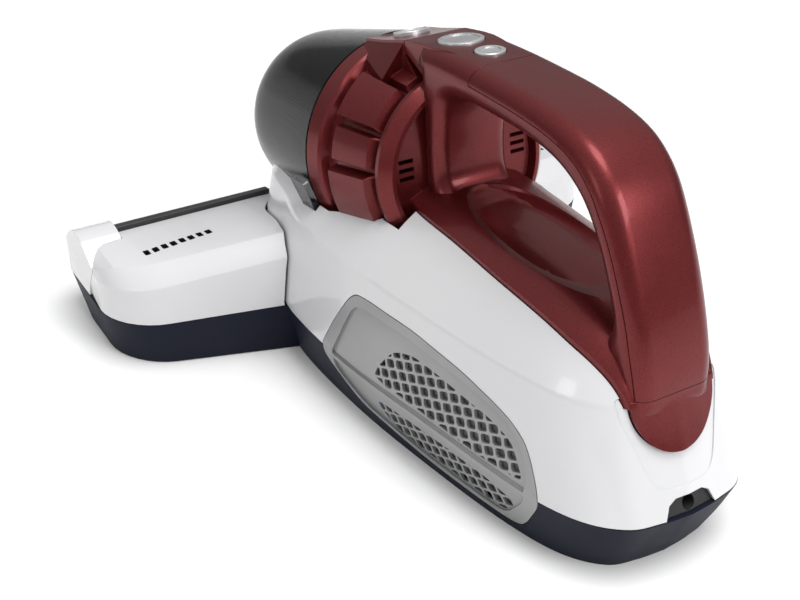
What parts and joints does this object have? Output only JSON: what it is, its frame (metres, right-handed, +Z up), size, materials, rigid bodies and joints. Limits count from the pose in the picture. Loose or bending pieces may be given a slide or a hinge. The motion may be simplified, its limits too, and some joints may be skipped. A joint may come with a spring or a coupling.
{
  "type": "handheld vacuum cleaner",
  "caption": "Handheld bed and upholstery vacuum with a wide brush nozzle, boat-shaped body, loop handle and a removable cyclone dust bowl.",
  "frame": {"origin": "centre of the bounding box on the ground, in the symmetry plane", "axes": "+Z up, -Y towards the nozzle, +X towards the side that holds the brush drive belt"},
  "size_m": [0.29, 0.33, 0.1702],
  "materials": {
    "navy_plastic": "satin",
    "white_plastic": "gloss",
    "maroon_plastic": "metallic gloss",
    "silver_plastic": "satin",
    "black_plastic": "satin",
    "smoke_clear": "clear smoke",
    "grey_plastic": "matte",
    "soft_rubber": "matte",
    "filter_foam": "open foam",
    "bright_steel": "brushed",
    "filter_cloth": "pleated",
    "lamp_glass": "clear",
    "brush_bristle": "bristle",
    "board_green": "satin"
  },
  "bodies": {
    "housing": {"base_plate": "navy_plastic", "wheel_axle_left": "bright_steel", "wheel_axle_right": "bright_steel", "base_screw_1": "bright_steel", "base_screw_2": "bright_steel", "base_screw_3": "bright_steel", "base_screw_4": "bright_steel", "lamp_window": "smoke_clear", "lamp_tube": "lamp_glass", "lamp_socket_right": "black_plastic", "lamp_socket_left": "black_plastic", "lamp_reflector": "bright_steel", "roller_bearing_left": "grey_plastic", "roller_bearing_right": "grey_plastic", "drive_belt": "soft_rubber", "brush_motor": "bright_steel", "brush_chamber": "grey_plastic", "nozzle_cover": "white_plastic", "bumper_cap_left": "white_plastic", "bumper_cap_right": "white_plastic", "bumper_strip_left": "black_plastic", "bumper_strip_right": "black_plastic", "body_shell": "white_plastic", "vent_grille_left": "silver_plastic", "vent_grille_right": "silver_plastic", "exhaust_filter_left": "filter_foam", "exhaust_filter_right": "filter_foam", "handle_frame": "maroon_plastic", "grip_cover": "maroon_plastic", "power_button_spring": "bright_steel", "release_button_spring": "bright_steel", "suction_duct": "grey_plastic", "intake_elbow": "grey_plastic", "fan_housing": "black_plastic", "suction_motor": "bright_steel", "motor_bell": "black_plastic", "motor_mount_front": "soft_rubber", "motor_mount_rear": "soft_rubber", "circuit_board": "board_green", "cord_inlet": "black_plastic"},
    "roller": {"brush_roller": "brush_bristle", "roller_axle": "bright_steel", "roller_pulley": "grey_plastic"},
    "brush_motor_rotor": {"motor_pulley": "bright_steel"},
    "fan_rotor": {"impeller": "grey_plastic", "motor_shaft": "bright_steel"},
    "wheel_left": {"rear_wheel_left": "soft_rubber"},
    "wheel_right": {"rear_wheel_right": "soft_rubber"},
    "power_switch": {"power_button": "silver_plastic"},
    "release_switch": {"release_button": "silver_plastic"},
    "dust_container": {"cyclone_housing": "maroon_plastic", "badge_plate": "silver_plastic", "cyclone_shroud": "black_plastic", "pre_motor_filter": "filter_cloth", "filter_frame": "grey_plastic"},
    "bowl": {"dust_bowl": "smoke_clear", "bowl_tab": "smoke_clear", "bowl_seal": "soft_rubber"}
  },
  "joints": [
    {"name": "roller_spin", "type": "hinge", "parent": "housing", "child": "roller", "pos_m": [0, -0.125, 0.019], "axis": [1, 0, 0], "continuous": true},
    {"name": "brush_motor_spin", "type": "hinge", "parent": "housing", "child": "brush_motor_rotor", "pos_m": [0, -0.084, 0.03], "axis": [1, 0, 0], "continuous": true},
    {"name": "fan_spin", "type": "hinge", "parent": "housing", "child": "fan_rotor", "pos_m": [0, 0.044, 0.052], "axis": [0, 1, 0], "continuous": true},
    {"name": "wheel_left_spin", "type": "hinge", "parent": "housing", "child": "wheel_left", "pos_m": [0.03, 0.117, 0.008], "axis": [1, 0, 0], "continuous": true},
    {"name": "wheel_right_spin", "type": "hinge", "parent": "housing", "child": "wheel_right", "pos_m": [-0.03, 0.117, 0.008], "axis": [1, 0, 0], "continuous": true},
    {"name": "power_press", "type": "slide", "parent": "housing", "child": "power_switch", "axis": [0, 0.1197, -0.9928], "range_m": [0, 0.0015], "stiffness_N_per_m": 400, "springref_m": -0.0005},
    {"name": "release_press", "type": "slide", "parent": "housing", "child": "release_switch", "axis": [0, 0.045, -0.999], "range_m": [0, 0.0015], "stiffness_N_per_m": 400, "springref_m": -0.0005},
    {"name": "container_release", "type": "slide", "parent": "housing", "child": "dust_container", "axis": [0, -0.9063, 0.4226], "range_m": [0, 0.09]},
    {"name": "bowl_twist", "type": "hinge", "parent": "dust_container", "child": "bowl", "pos_m": [0, -0.0526, 0.1019], "axis": [0, -0.9871, -0.1599], "range_deg": [0, 25]}
  ],
  "couplings": [
    {"joint": "brush_motor_spin", "follows": "roller_spin", "ratio": 2}
  ]
}
